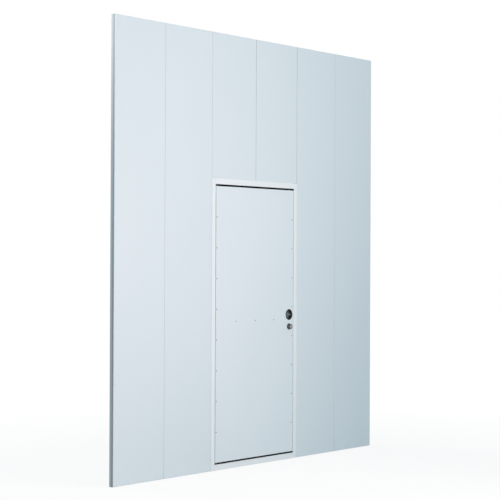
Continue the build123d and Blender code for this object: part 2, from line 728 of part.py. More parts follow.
# Lock plates: one flush in the leaf's edge, one flush in the jamb, each with the bolt's slot
def make_lock_plate(name, face_x, thickness):
    with BuildPart() as plate:
        with BuildSketch(through(face_x)):
            with Locations((plate_y, plate_z)):
                Rectangle(FACE_PLATE_WIDTH - 2 * PLATE_FIT, FACE_PLATE_HEIGHT - 2 * PLATE_FIT)
            with Locations((plate_y, lock_z)):
                Rectangle(BOLT_SLOT_WIDTH, BOLT_SLOT_HEIGHT, mode=Mode.SUBTRACT)
        extrude(amount=thickness)
    save(plate.part, name)


make_lock_plate("lock_face_plate", leaf_half, -inset)
make_lock_plate("strike_plate", opening_half, FRAME_SHEET)
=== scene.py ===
import json
import math

import bpy
from mathutils import Matrix, Vector

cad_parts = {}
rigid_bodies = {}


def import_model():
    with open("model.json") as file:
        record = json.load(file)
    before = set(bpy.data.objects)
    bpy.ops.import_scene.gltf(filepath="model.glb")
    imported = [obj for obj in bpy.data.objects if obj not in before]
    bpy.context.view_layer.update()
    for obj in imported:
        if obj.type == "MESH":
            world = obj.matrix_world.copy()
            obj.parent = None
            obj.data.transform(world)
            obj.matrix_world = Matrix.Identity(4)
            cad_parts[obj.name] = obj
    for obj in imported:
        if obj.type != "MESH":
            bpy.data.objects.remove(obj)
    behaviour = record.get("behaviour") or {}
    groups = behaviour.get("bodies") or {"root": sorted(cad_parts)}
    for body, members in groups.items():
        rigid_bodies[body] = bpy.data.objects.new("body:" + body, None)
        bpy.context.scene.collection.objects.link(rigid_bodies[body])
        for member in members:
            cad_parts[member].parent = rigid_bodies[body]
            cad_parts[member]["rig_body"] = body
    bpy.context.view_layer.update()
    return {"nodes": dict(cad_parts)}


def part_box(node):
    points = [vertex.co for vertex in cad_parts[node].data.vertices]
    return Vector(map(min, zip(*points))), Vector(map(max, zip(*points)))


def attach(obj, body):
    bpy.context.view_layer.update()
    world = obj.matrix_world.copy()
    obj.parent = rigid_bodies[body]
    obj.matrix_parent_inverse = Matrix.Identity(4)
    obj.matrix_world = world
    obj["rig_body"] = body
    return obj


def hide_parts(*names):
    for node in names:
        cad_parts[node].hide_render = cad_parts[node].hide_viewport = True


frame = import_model()

# Wall panels
# Thin steel sheet painted at the mill, pale blue-grey, folded back on all four sides into a tray.
# They stand side by side and are bolted together through their side folds.
merge_distance = 1e-6
flat_angle = math.radians(0.3)  # facets that turn less than this become one face
edge_angle = math.radians(50)  # edges that turn more than this are eased
smooth_angle = math.radians(40)


def pick(piece):
    """Selects one piece alone and makes it the active one."""
    bpy.ops.object.select_all(action="DESELECT")
    piece.select_set(True)
    bpy.context.view_layer.objects.active = piece


def finished_copy(node, eased_edge):
    """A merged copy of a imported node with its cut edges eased, which stands for the node."""
    source = frame["nodes"][node]
    piece = bpy.data.objects.new(node + "_finished", source.data.copy())
    bpy.context.scene.collection.objects.link(piece)
    pick(piece)
    bpy.ops.mesh.customdata_custom_splitnormals_clear()
    bpy.ops.object.mode_set(mode="EDIT")
    bpy.ops.mesh.select_all(action="SELECT")
    bpy.ops.mesh.remove_doubles(threshold=merge_distance)
    bpy.ops.mesh.dissolve_limited(angle_limit=flat_angle)
    bpy.ops.object.mode_set(mode="OBJECT")
    bevel = piece.modifiers.new("eased edges", "BEVEL")
    bevel.width = eased_edge
    bevel.segments = 2
    bevel.limit_method = "ANGLE"
    bevel.angle_limit = edge_angle
    bpy.ops.object.modifier_apply(modifier=bevel.name)
    bpy.ops.object.shade_smooth_by_angle(angle=smooth_angle)
    normals = piece.modifiers.new("flat faces stay flat", "WEIGHTED_NORMAL")
    normals.keep_sharp = True
    bpy.ops.object.modifier_apply(modifier=normals.name)
    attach(piece, source["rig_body"])
    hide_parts(node)
    return piece


def paint(piece, material):
    """Gives a piece one material all over."""
    piece.data.materials.clear()
    piece.data.materials.append(material)


def new_material(name):
    """A material with its nodes and links, ready to be set up."""
    material = bpy.data.materials.new(name)
    material.use_nodes = True
    return material, material.node_tree.nodes, material.node_tree.links


def painted_steel(name, colour, shade, roughness, peel):
    """Baked paint: faint drifts of tone, a fine orange-peel skin and a very slight waviness of the sheet."""
    material, nodes, links = new_material(name)
    shader = nodes["Principled BSDF"]
    place = nodes.new("ShaderNodeTexCoord")
    drift = nodes.new("ShaderNodeTexNoise")
    drift.inputs["Scale"].default_value = 1.7
    drift.inputs["Detail"].default_value = 3.0
    tone = nodes.new("ShaderNodeMix")
    tone.data_type = "RGBA"
    tone.inputs["A"].default_value = (*[c * shade for c in colour], 1)
    tone.inputs["B"].default_value = (*colour, 1)
    skin = nodes.new("ShaderNodeTexNoise")
    skin.inputs["Scale"].default_value = 420.0
    skin.inputs["Detail"].default_value = 2.0
    wave = nodes.new("ShaderNodeTexNoise")
    wave.inputs["Scale"].default_value = 2.6
    wave.inputs["Detail"].default_value = 0.0
    sheet = nodes.new("ShaderNodeBump")
    sheet.inputs["Strength"].default_value = 0.2
    sheet.inputs["Distance"].default_value = 0.004
    orange_peel = nodes.new("ShaderNodeBump")
    orange_peel.inputs["Strength"].default_value = peel
    orange_peel.inputs["Distance"].default_value = 0.0002
    gloss = nodes.new("ShaderNodeMapRange")
    gloss.inputs["To Min"].default_value = roughness - 0.04
    gloss.inputs["To Max"].default_value = roughness + 0.06
    for texture in (drift, skin, wave):
        links.new(place.outputs["Object"], texture.inputs["Vector"])
    links.new(drift.outputs["Fac"], tone.inputs["Factor"])
    links.new(tone.outputs["Result"], shader.inputs["Base Color"])
    links.new(drift.outputs["Fac"], gloss.inputs["Value"])
    links.new(gloss.outputs["Result"], shader.inputs["Roughness"])
    links.new(wave.outputs["Fac"], sheet.inputs["Height"])
    links.new(skin.outputs["Fac"], orange_peel.inputs["Height"])
    links.new(sheet.outputs["Normal"], orange_peel.inputs["Normal"])
    links.new(orange_peel.outputs["Normal"], shader.inputs["Normal"])
    return material


sheet_edge = 0.0002
panel_paint = painted_steel("panel paint", (0.63, 0.71, 0.765), shade=0.97, roughness=0.42, peel=0.12)
panels = (
    "left_outer_panel",
    "left_inner_panel",
    "over_door_left_panel",
    "over_door_right_panel",
    "right_inner_panel",
    "right_outer_panel",
)
for node in panels:
    panel = finished_copy(node, sheet_edge)
    paint(panel, panel_paint)

# Joint strips
# Soft rubber with a hollow front, pressed into the seams a little behind the panels' rounded folds: grey
# between the tall panels, black over the door; both tones are painted shade, the dark line that shade gives
# each seam.
# White sealant closes the joints beside and over the frame.
square_on = 0.99  # a face looks along an axis when its normal has more than this share along it


def add_block(name, low, high):
    """A plain block from corner to corner, to be shaped further."""
    bpy.ops.object.select_all(action="DESELECT")
    bpy.ops.mesh.primitive_cube_add(size=1.0, location=(low + high) / 2)
    block = bpy.context.object
    block.name = name
    block.scale = high - low
    bpy.ops.object.transform_apply(location=True, rotation=True, scale=True)
    return block


def select_faces(piece, wanted):
    """Opens a piece for editing with only those faces selected whose normal is wanted."""
    if bpy.context.mode != "OBJECT":
        bpy.ops.object.mode_set(mode="OBJECT")
    pick(piece)
    bpy.ops.object.mode_set(mode="EDIT")
    bpy.ops.mesh.select_mode(type="FACE")
    bpy.ops.mesh.select_all(action="DESELECT")
    bpy.ops.object.mode_set(mode="OBJECT")
    for face in piece.data.polygons:
        face.select = wanted(face.normal)
    bpy.ops.object.mode_set(mode="EDIT")


def moulded_rubber(name, dark, light, roughness, sheen):
    """Matt rubber with a fine grain."""
    material, nodes, links = new_material(name)
    shader = nodes["Principled BSDF"]
    shader.inputs["Roughness"].default_value = roughness
    shader.inputs["Specular IOR Level"].default_value = sheen
    place = nodes.new("ShaderNodeTexCoord")
    grain = nodes.new("ShaderNodeTexNoise")
    grain.inputs["Scale"].default_value = 900.0
    tone = nodes.new("ShaderNodeValToRGB")
    tone.color_ramp.elements[0].color = (*dark, 1)
    tone.color_ramp.elements[1].color = (*light, 1)
    bump = nodes.new("ShaderNodeBump")
    bump.inputs["Strength"].default_value = 0.3
    bump.inputs["Distance"].default_value = 0.0002
    links.new(place.outputs["Object"], grain.inputs["Vector"])
    links.new(grain.outputs["Fac"], tone.inputs["Fac"])
    links.new(tone.outputs["Color"], shader.inputs["Base Color"])
    links.new(grain.outputs["Fac"], bump.inputs["Height"])
    links.new(bump.outputs["Normal"], shader.inputs["Normal"])
    return material


# Near-black rubber for the seals and gaskets; in the seams over the door and in the lips it is painted
# shade.
rubber = moulded_rubber(
    "seal rubber", dark=(0.004, 0.004, 0.0045), light=(0.009, 0.009, 0.01), roughness=0.9, sheen=0.06
)
# Grey whose tone paints the shade in the seams between the tall panels: painted shade.
seam_shade_grey = moulded_rubber(
    "joint rubber", dark=(0.36, 0.37, 0.375), light=(0.44, 0.45, 0.455), roughness=0.9, sheen=0.1
)
sealant = moulded_rubber(
    "white sealant", dark=(0.7, 0.75, 0.785), light=(0.75, 0.8, 0.83), roughness=0.7, sheen=0.3
)
strip_front = 0.0012  # behind the panels' faces
strip_back = 0.004
strip_reach = 0.0006  # how far the rubber bulges over a rounded panel fold
strip_hollow = 0.0003
sealant_front = -0.0014  # in front of the panels' faces, just short of the frame's
sealant_back = 0.0003
sealant_reach = 0.0035  # over the panel beside the jamb
same_width = (1, 1, 1)  # of a strip's back, as a share of its front
narrow_back = (0.4, 1, 1)
low_back = (1, 1, 0.6)


def joint_strip(name, low, high, back_share, material):
    """A strip with a hollow front, and a back that may be narrower where folds come close together."""
    strip = add_block(name, low, high)
    select_faces(strip, lambda normal: normal.y > square_on)
    bpy.ops.transform.resize(value=back_share, center_override=(low + high) / 2)
    select_faces(strip, lambda normal: normal.y < -square_on)
    bpy.ops.mesh.inset(thickness=strip_hollow, depth=-strip_hollow)
    bpy.ops.object.mode_set(mode="OBJECT")
    paint(strip, material)
    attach(strip, "wall")


upright_seams = (
    ("left_seam_strip", "left_outer_panel", "left_inner_panel"),
    ("hinge_jamb_strip", "left_inner_panel", "frame_hinge_jamb"),
    ("hinge_side_upper_strip", "left_inner_panel", "over_door_left_panel"),
    ("over_door_seam_strip", "over_door_left_panel", "over_door_right_panel"),
    ("lock_side_upper_strip", "over_door_right_panel", "right_inner_panel"),
    ("lock_jamb_strip", "frame_lock_jamb", "right_inner_panel"),
    ("right_seam_strip", "right_inner_panel", "right_outer_panel"),
)
for name, left, right in upright_seams:
    left_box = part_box(left)
    right_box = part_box(right)
    beside_frame = left not in panels or right not in panels
    reach = sealant_reach if beside_frame else strip_reach
    start = left_box[1].x - (reach if left in panels else 0)
    end = right_box[0].x + (reach if right in panels else 0)
    low_z = max(left_box[0].z, right_box[0].z)
    high_z = min(left_box[1].z, right_box[1].z)
    if beside_frame:
        low = Vector((start, sealant_front, low_z))
        high = Vector((end, sealant_back, high_z))
        joint_strip(name, low, high, same_width, sealant)
    else:
        low = Vector((start, strip_front, low_z))
        high = Vector((end, strip_back, high_z))
        # Painted shade of the seam: black strips over the door, grey ones between the tall panels.
        material = rubber if left.startswith("over_door") else seam_shade_grey
        joint_strip(name, low, high, narrow_back, material)
head_low, head_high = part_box("frame_head")
panel_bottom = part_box("over_door_left_panel")[0].z
joint_strip(
    "over_frame_strip",
    Vector((head_low.x, strip_front, head_high.z)),
    Vector((head_high.x, strip_back, panel_bottom + strip_reach)),
    low_back,
    sealant,
)


# Stiffening ribs
# Hat sections of bare galvanised strip, spot-welded across the back of each panel.
# The welding tongs leave a row of small round dents along both feet of each rib.
def galvanised_steel(name):
    """Zinc-coated strip: crystal spangles that differ a little in grey and in gloss."""
    material, nodes, links = new_material(name)
    shader = nodes["Principled BSDF"]
    shader.inputs["Metallic"].default_value = 1.0
    place = nodes.new("ShaderNodeTexCoord")
    spangle = nodes.new("ShaderNodeTexVoronoi")
    spangle.inputs["Scale"].default_value = 160.0
    grey = nodes.new("ShaderNodeValToRGB")
    grey.color_ramp.elements[0].color = (0.26, 0.288, 0.315, 1)
    grey.color_ramp.elements[1].color = (0.42, 0.455, 0.49, 1)
    gloss = nodes.new("ShaderNodeMapRange")
    gloss.inputs["To Min"].default_value = 0.38
    gloss.inputs["To Max"].default_value = 0.55
    links.new(place.outputs["Object"], spangle.inputs["Vector"])
    links.new(spangle.outputs["Color"], grey.inputs["Fac"])
    links.new(spangle.outputs["Color"], gloss.inputs["Value"])
    links.new(grey.outputs["Color"], shader.inputs["Base Color"])
    links.new(gloss.outputs["Result"], shader.inputs["Roughness"])
    return material


def round_over(piece, wanted, radius, steps):
    """Rounds the edges of those faces whose normal is wanted."""
    select_faces(piece, wanted)
    bpy.ops.mesh.bevel(offset=radius, segments=steps, affect="EDGES")
    bpy.ops.object.mode_set(mode="OBJECT")


def turned(name, radius, low, high, sides, eased, steps):
    """A bar along Z from low to high, round or with a few flats, with its upper rim eased."""
    bpy.ops.object.select_all(action="DESELECT")
    bpy.ops.mesh.primitive_cylinder_add(
        vertices=sides, radius=radius, depth=high - low, location=(0, 0, (low + high) / 2)
    )
    bar = bpy.context.object
    bar.name = name
    bpy.ops.object.transform_apply(location=True, rotation=True, scale=True)
    round_over(bar, lambda normal: normal.z > square_on, eased, steps)
    bpy.ops.object.shade_smooth_by_angle(angle=smooth_angle)
    return bar


def joined(name, pieces):
    """Several pieces made one."""
    bpy.ops.object.select_all(action="DESELECT")
    for piece in pieces:
        piece.select_set(True)
    bpy.context.view_layer.objects.active = pieces[0]
    bpy.ops.object.join()
    pieces[0].name = name
    return pieces[0]


def set_out(name, pattern, places, facing):
    """Copies of a pattern that points up Z, turned to face one way and joined into one piece."""
    turn = Vector(facing).to_track_quat("Z", "Y").to_matrix().to_4x4()
    copies = []
    for place in places:
        copy = bpy.data.objects.new(name, pattern.data.copy())
        copy.data.transform(Matrix.Translation(place) @ turn)
        bpy.context.scene.collection.objects.link(copy)
        copies.append(copy)
    return joined(name, copies)


def dress(piece, material, body):
    """Gives a new piece its finish and the body that it moves with."""
    paint(piece, material)
    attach(piece, body)


zinc = galvanised_steel("galvanised strip")
rib_sheet = 0.001
rib_height = 0.06  # over both feet
foot_middle = 0.0225  # from the rib's middle line
welds_along = 5
weld_margin = 0.03
weld_radius = 0.0032
weld_proud = 0.0002
weld_rim = 0.001
weld_dent = 0.0003
weld = turned("weld", weld_radius, -weld_proud, weld_proud, sides=12, eased=0.0001, steps=1)
select_faces(weld, lambda normal: normal.z > square_on)
bpy.ops.mesh.inset(thickness=weld_rim, depth=-weld_dent)
bpy.ops.object.mode_set(mode="OBJECT")
ribs = (
    ("left_outer_ribs", 4),
    ("left_inner_ribs", 4),
    ("over_door_left_rib", 1),
    ("over_door_right_rib", 1),
    ("right_inner_ribs", 4),
    ("right_outer_ribs", 4),
)
for node, count in ribs:
    rib = finished_copy(node, sheet_edge)
    paint(rib, zinc)
    low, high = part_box(node)
    first_middle = low.z + rib_height / 2
    pitch = (high.z - low.z - rib_height) / max(1, count - 1)
    run = high.x - low.x - 2 * weld_margin
    places = []
    for k in range(count):
        for side in (-1, 1):
            level = first_middle + pitch * k + side * foot_middle
            for along in range(welds_along):
                weld_x = low.x + weld_margin + run * along / (welds_along - 1)
                places.append((weld_x, low.y + rib_sheet, level))
    dress(set_out(node + "_welds", weld, places, (0, 1, 0)), zinc, "wall")
bpy.data.objects.remove(weld)


# Seam bolts
# Plated hexagon bolts with washers and nuts, which draw the side folds of neighbouring panels together.
# They are put in from behind, so none shows on the face.
def plated_steel(name, colour, roughness):
    """Satin plated metal with very fine brushing."""
    material, nodes, links = new_material(name)
    shader = nodes["Principled BSDF"]
    shader.inputs["Metallic"].default_value = 1.0
    place = nodes.new("ShaderNodeTexCoord")
    stretch = nodes.new("ShaderNodeMapping")
    stretch.inputs["Scale"].default_value = (60.0, 60.0, 1600.0)
    brushing = nodes.new("ShaderNodeTexNoise")
    brushing.inputs["Scale"].default_value = 1.0
    brushing.inputs["Detail"].default_value = 4.0
    tone = nodes.new("ShaderNodeMix")
    tone.data_type = "RGBA"
    streak_shade = 0.88
    tone.inputs["A"].default_value = (*[c * streak_shade for c in colour], 1)
    tone.inputs["B"].default_value = (*colour, 1)
    gloss = nodes.new("ShaderNodeMapRange")
    gloss.inputs["To Min"].default_value = roughness - 0.05
    gloss.inputs["To Max"].default_value = roughness + 0.08
    links.new(place.outputs["Object"], stretch.inputs["Vector"])
    links.new(stretch.outputs["Vector"], brushing.inputs["Vector"])
    links.new(brushing.outputs["Fac"], tone.inputs["Factor"])
    links.new(tone.outputs["Result"], shader.inputs["Base Color"])
    links.new(brushing.outputs["Fac"], gloss.inputs["Value"])
    links.new(gloss.outputs["Result"], shader.inputs["Roughness"])
    return material


fitting_steel = plated_steel("plated steel", (0.62, 0.63, 0.65), roughness=0.32)
fold_pair = 0.00105  # from the middle of a seam to the inside of a fold
washer_radius = 0.0062
washer_face = fold_pair + 0.0012
bolt_radius = 0.0058  # over the corners of head and nut
bolt_head_face = washer_face + 0.004
nut_face = washer_face + 0.005
thread_radius = 0.003
thread_tip = nut_face + 0.0023
bolt = joined(
    "bolt",
    [
        turned("washer", washer_radius, fold_pair, washer_face, sides=20, eased=0.0002, steps=1),
        turned("head", bolt_radius, washer_face, bolt_head_face, sides=6, eased=0.0006, steps=1),
        turned("back washer", washer_radius, -washer_face, -fold_pair, sides=20, eased=0.0002, steps=1),
        turned("nut", bolt_radius, -nut_face, -washer_face, sides=6, eased=0.0005, steps=1),
        turned("thread end", thread_radius, -thread_tip, -nut_face, sides=14, eased=0.0004, steps=1),
    ],
)
bolt_depth = 0.015
bolt_pitch = 0.57
bolt_levels = [bolt_pitch * (k + 0.5) for k in range(5)]
for name, left, right in upright_seams:
    if left not in panels or right not in panels:
        continue
    left_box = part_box(left)
    right_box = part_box(right)
    middle = (left_box[1].x + right_box[0].x) / 2
    low_z = max(left_box[0].z, right_box[0].z)
    places = [(middle, bolt_depth, level) for level in bolt_levels if level > low_z]
    bolts = set_out(name.replace("strip", "bolts"), bolt, places, (-1, 0, 0))
    dress(bolts, fitting_steel, "wall")
bpy.data.objects.remove(bolt)

# End angles
# Angles that stiffen the two free ends of the wall and take the bolts of the next piece, with paint a shade
# darker than the panels' as painted shade of the ends. Beside each, a strip of grey foam tape on the bare
# fold seals the joint to that piece; its grey is painted shade along the front of the end.
# Grey tape tone: painted shade along the front of each end.
foam_shade = moulded_rubber(
    "foam tape", dark=(0.35, 0.37, 0.38), light=(0.44, 0.46, 0.47), roughness=0.9, sheen=0.2
)
# A shade darker than the panel paint: painted shade of the wall's ends.
end_shade_paint = painted_steel("end paint", (0.5, 0.58, 0.63), shade=0.97, roughness=0.42, peel=0.12)
tape_front = 0.0034
tape_back = 0.0122
tape_thickness = 0.0009
tape_rounding = 0.0003
for node, side in (("left_end_angle", -1), ("right_end_angle", 1)):
    angle = finished_copy(node, sheet_edge)
    paint(angle, end_shade_paint)
    panel_low, panel_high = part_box(node.replace("end_angle", "outer_panel"))
    fold_x = panel_low.x if side < 0 else panel_high.x
    tape_low_x, tape_high_x = sorted((fold_x, fold_x + side * tape_thickness))
    tape = add_block(
        node.replace("angle", "tape"),
        Vector((tape_low_x, tape_front, panel_low.z)),
        Vector((tape_high_x, tape_back, panel_high.z)),
    )
    round_over(tape, lambda normal: normal.x * side > square_on, tape_rounding, steps=2)
    dress(tape, foam_shade, "wall")

# Door frame
# Thicker steel folded to a rebated section, whiter than the panels, with butt joints and a thin bead on the
# lock jamb that narrows the gap there. Galvanised brackets behind it are screwed to the panels' back lips.
frame_paint = painted_steel("frame paint", (0.74, 0.79, 0.825), shade=0.98, roughness=0.38, peel=0.1)
plate_edge = 0.0003
for node in ("frame_hinge_jamb", "frame_lock_jamb", "frame_head", "frame_sill"):
    member = finished_copy(node, plate_edge)
    paint(member, frame_paint)
leaf_low, leaf_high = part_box("leaf_front_skin")
stop_height = 0.016
opening_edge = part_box("frame_lock_jamb")[0].x + stop_height
bead_thickness = 0.003
bead_front = head_low.y + 0.0006
bead_back = bead_front + 0.0036
bead_rounding = 0.0008
bead = add_block(
    "lock_jamb_bead",
    Vector((opening_edge - bead_thickness, bead_front, leaf_low.z)),
    Vector((opening_edge, bead_back, leaf_high.z)),
)
round_over(bead, lambda normal: normal.x < -square_on, bead_rounding, steps=3)
dress(bead, frame_paint, "wall")
thick_edge = 0.0004
brackets = finished_copy("frame_brackets", thick_edge)
paint(brackets, zinc)
flange_radius = 0.0055
flange_face = 0.001
hexagon_radius = 0.0042
hexagon_face = 0.0042
hexagon_screw = joined(
    "hexagon screw",
    [
        turned("flange", flange_radius, 0.0, flange_face, sides=20, eased=0.0003, steps=2),
        turned("hexagon", hexagon_radius, flange_face, hexagon_face, sides=6, eased=0.0005, steps=1),
    ],
)
bracket_low, bracket_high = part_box("frame_brackets")
jamb_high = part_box("frame_hinge_jamb")[1]
panel_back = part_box("left_inner_panel")[1].y
bracket_sheet = 0.002
wall_leg = 0.02
screw_in = 0.007  # from the bend to the screw in the panel's lip
screw_apart = 0.015  # each way from the bracket's middle
bracket_pitch = 0.65
wall_screw_y = panel_back + bracket_sheet
frame_screw_y = bracket_high.y - 0.008
bracket_middles = [jamb_high.z / 2 + k * bracket_pitch for k in (-1, 0, 1)]
screw_levels = [middle + s * screw_apart for middle in bracket_middles for s in (-1, 1)]
for side, edge in (("left", bracket_low.x), ("right", bracket_high.x)):
    inwards = 1 if side == "left" else -1
    bend = edge + inwards * wall_leg
    wall_places = [(bend - inwards * screw_in, wall_screw_y, level) for level in screw_levels]
    frame_places = [(bend - inwards * bracket_sheet, frame_screw_y, level) for level in screw_levels]
    screws = [
        set_out("wall screws", hexagon_screw, wall_places, (0, 1, 0)),
        set_out("frame screws", hexagon_screw, frame_places, (-inwards, 0, 0)),
    ]
    dress(joined(side + "_bracket_screws", screws), fitting_steel, "wall")
head_bend = bracket_high.z - wall_leg
screws = []
for node in ("over_door_left_panel", "over_door_right_panel"):
    low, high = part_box(node)
    middle = (low.x + high.x) / 2
    pair = (middle - screw_apart, middle + screw_apart)
    wall_places = [(x, wall_screw_y, head_bend + screw_in) for x in pair]
    frame_places = [(x, frame_screw_y, head_bend + bracket_sheet) for x in pair]
    screws.append(set_out("wall screws", hexagon_screw, wall_places, (0, 1, 0)))
    screws.append(set_out("frame screws", hexagon_screw, frame_places, (0, 0, 1)))
dress(joined("head_bracket_screws", screws), fitting_steel, "wall")
bpy.data.objects.remove(hexagon_screw)

# Weather seal
# Black rubber strips stuck to the stops behind the leaf's edges, draught strips in the gaps over and under
# the leaf, and lips on the edges of the head and the sill. The draught strips and lips are made to blacken
# the
# gaps over and under the leaf: painted shade of those gaps. All have rounded edges, as extruded rubber has.
seal_edge = 0.0015
seal = finished_copy("door_seal", seal_edge)
paint(seal, rubber)
head_lip_height = 0.0026
sill_lip_height = 0.0015
lip_proud = 0.0009
lip_rounding = 0.0004
seal_low, seal_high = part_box("door_seal")
# Near-black lips that widen the dark lines over and under the leaf: painted shade of the gaps.
for name, low_z, high_z in (
    ("head_shade_lip", seal_high.z, seal_high.z + head_lip_height),
    ("sill_shade_lip", seal_low.z - sill_lip_height, seal_low.z),
):
    lip = add_block(
        name,
        Vector((head_low.x, head_low.y - lip_proud, low_z)),
        Vector((head_high.x, head_low.y + lip_proud, high_z)),
    )
    round_over(lip, lambda normal: normal.y < -square_on, lip_rounding, steps=2)
    dress(lip, rubber, "wall")

# Pivots, strike plate and keeper
# Black pivots and plated lock plates, fixed to the frame with countersunk screws.
# The screws have a cross recess, and sit just proud of the plates.
satin_black = painted_steel("satin black", (0.03, 0.03, 0.033), shade=0.8, roughness=0.4, peel=0.2)
for node in ("top_pivot", "bottom_pivot"):
    pivot = finished_copy(node, plate_edge)
    paint(pivot, satin_black)
for node in ("strike_plate", "latch_keeper"):
    fitting = finished_copy(node, plate_edge)
    paint(fitting, fitting_steel)
screw_sunk = 0.0008
screw_proud = 0.0003
recess_depth = 0.0007
recess_reach = 0.62  # half length of the cross, as a share of the head's radius
recess_width = 0.14  # half width of its arms, the same


def cross_head_screw(radius):
    """A flat screw head that points up Z, with a cross cut into it."""
    head = turned("cross head", radius, -screw_sunk, screw_proud, sides=28, eased=0.0002, steps=2)
    arm = Vector((radius * recess_reach, radius * recess_width, recess_depth))
    cutter = joined("cutter", [add_block("arm", -arm, arm), add_block("arm", -arm.yxz, arm.yxz)])
    cut = head.modifiers.new("cross recess", "BOOLEAN")
    cut.operation = "DIFFERENCE"
    cut.object = cutter
    cut.use_self = True
    pick(head)
    bpy.ops.object.modifier_apply(modifier=cut.name)
    bpy.data.objects.remove(cutter)
    return head


plate_screw_radius = 0.004
small_screw_radius = 0.0028
plate_screw = cross_head_screw(plate_screw_radius)
small_screw = cross_head_screw(small_screw_radius)
plate_low, plate_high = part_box("strike_plate")
upper_screw_in = 0.009  # from the plate's upper end
lower_screw_in = 0.0068  # from its lower end, short of the bolt's slot
plate_y = (plate_low.y + plate_high.y) / 2
plate_levels = (plate_low.z + lower_screw_in, plate_high.z - upper_screw_in)
strike_places = [(plate_low.x, plate_y, level) for level in plate_levels]
keeper_low, keeper_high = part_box("latch_keeper")
keeper_sheet = 0.002
keeper_face = keeper_high.x - keeper_sheet
keeper_screw_y = keeper_low.y + 0.016
keeper_middle = (keeper_low.z + keeper_high.z) / 2
keeper_screw_apart = 0.012  # each way from the keeper's middle
keeper_levels = [keeper_middle + side * keeper_screw_apart for side in (-1, 1)]
keeper_places = [(keeper_face, keeper_screw_y, level) for level in keeper_levels]
screws = [
    set_out("strike screws", plate_screw, strike_places, (-1, 0, 0)),
    set_out("keeper screws", plate_screw, keeper_places, (-1, 0, 0)),
]
dress(joined("lock_jamb_screws", screws), fitting_steel, "wall")
top_low, top_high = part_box("top_pivot")
bottom_low, bottom_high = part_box("bottom_pivot")
pivot_plate = 0.003
pivot_screw_in = 0.005  # from the plate's free end
pivot_y = (top_low.y + top_high.y) / 2
top_place = (top_high.x - pivot_screw_in, pivot_y, top_high.z - pivot_plate)
bottom_place = (bottom_high.x - pivot_screw_in, pivot_y, bottom_low.z + pivot_plate)
screws = [
    set_out("top", small_screw, [top_place], (0, 0, -1)),
    set_out("bottom", small_screw, [bottom_place], (0, 0, 1)),
]
dress(joined("pivot_screws", screws), fitting_steel, "wall")

# Door leaf
# Two painted skins over a hidden frame: the front one is folded back at both upright edges,
# with its hinge edge rounded about the pivots, and pressed caps close its top and bottom.
leaf_paint = painted_steel("leaf paint", (0.658, 0.734, 0.785), shade=0.98, roughness=0.4, peel=0.12)
for node in ("leaf_front_skin", "leaf_back_skin", "leaf_top_cap", "leaf_bottom_cap"):
    skin = finished_copy(node, sheet_edge)
    paint(skin, leaf_paint)
for node in ("leaf_hinge_stile", "leaf_lock_stile", "leaf_lock_rail"):
    member = finished_copy(node, sheet_edge)
    paint(member, zinc)
for node in ("top_pivot_socket", "bottom_pivot_socket", "lock_face_plate"):
    fitting = finished_copy(node, plate_edge)
    paint(fitting, fitting_steel)
face_plate_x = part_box("lock_face_plate")[1].x
face_places = [(face_plate_x, plate_y, level) for level in plate_levels]
face_screws = set_out("face_plate_screws", plate_screw, face_places, (1, 0, 0))
dress(face_screws, fitting_steel, "door")

# Rivets
# Blind rivets of grey steel in a row down each upright edge of the leaf, with three along the lock rail.
# Each has a low domed head with the hole that its pulled pin leaves.
rivet_steel = plated_steel("rivet steel", (0.29, 0.32, 0.345), roughness=0.4)
rivet_radius = 0.0042
rivet_sunk = 0.0003
rivet_proud = 0.0014
rivet_dome = 0.001  # rounding of the head
rivet_rim = 0.0018  # round the pin's hole
pin_hole_depth = 0.0009
rivet = turned("rivet", rivet_radius, -rivet_sunk, rivet_proud, sides=20, eased=rivet_dome, steps=3)
select_faces(rivet, lambda normal: normal.z > square_on)
bpy.ops.mesh.inset(thickness=rivet_rim)
bpy.ops.mesh.extrude_region_move(TRANSFORM_OT_translate={"value": (0, 0, -pin_hole_depth)})
bpy.ops.object.mode_set(mode="OBJECT")
bpy.ops.object.shade_smooth_by_angle(angle=smooth_angle)
leaf_back_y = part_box("leaf_back_skin")[1].y
hinge_row = leaf_low.x + 0.0075
lock_row = leaf_high.x - 0.015
rivet_pitch = 0.2
lowest_rivet = 0.248
rivets_a_row = 8
rivet_levels = [lowest_rivet + rivet_pitch * k for k in range(rivets_a_row)]
rail_level = 0.964
rail_middle = -0.005
rivet_places = [(x, level) for x in (hinge_row, lock_row) for level in rivet_levels]
rivet_places += [(rail_middle + rivet_pitch * k, rail_level) for k in (-1, 0, 1)]
front_places = [(x, leaf_low.y, z) for x, z in rivet_places]
back_places = [(x, leaf_back_y, z) for x, z in rivet_places]
dress(set_out("front_rivets", rivet, front_places, (0, -1, 0)), rivet_steel, "door")
dress(set_out("back_rivets", rivet, back_places, (0, 1, 0)), rivet_steel, "door")
bpy.data.objects.remove(rivet)

# Sunken handle
# A black dish let into the leaf on a rubber gasket. Its dark metal dial and bar turn the latch inside.
# The spindle is held at its inner end by a bolt and washer through the cam.
gasket_thickness = 0.0009


def gasket(name, node, reach, width):
    """A flat rubber ring on the leaf's face that shows as a thin dark line round a fitting."""
    low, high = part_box(node)
    radius = (high.x - low.x) / 2 + reach
    ring = turned(name + "_pattern", radius, 0.0, gasket_thickness, sides=64, eased=0.0003, steps=2)
    select_faces(ring, lambda normal: abs(normal.z) > square_on)
    bpy.ops.mesh.inset(thickness=width)
    bpy.ops.mesh.bridge_edge_loops()
    bpy.ops.object.mode_set(mode="OBJECT")
    place = ((low.x + high.x) / 2, leaf_low.y, (low.z + high.z) / 2)
    dress(set_out(name, ring, [place], (0, -1, 0)), rubber, "door")
    bpy.data.objects.remove(ring)


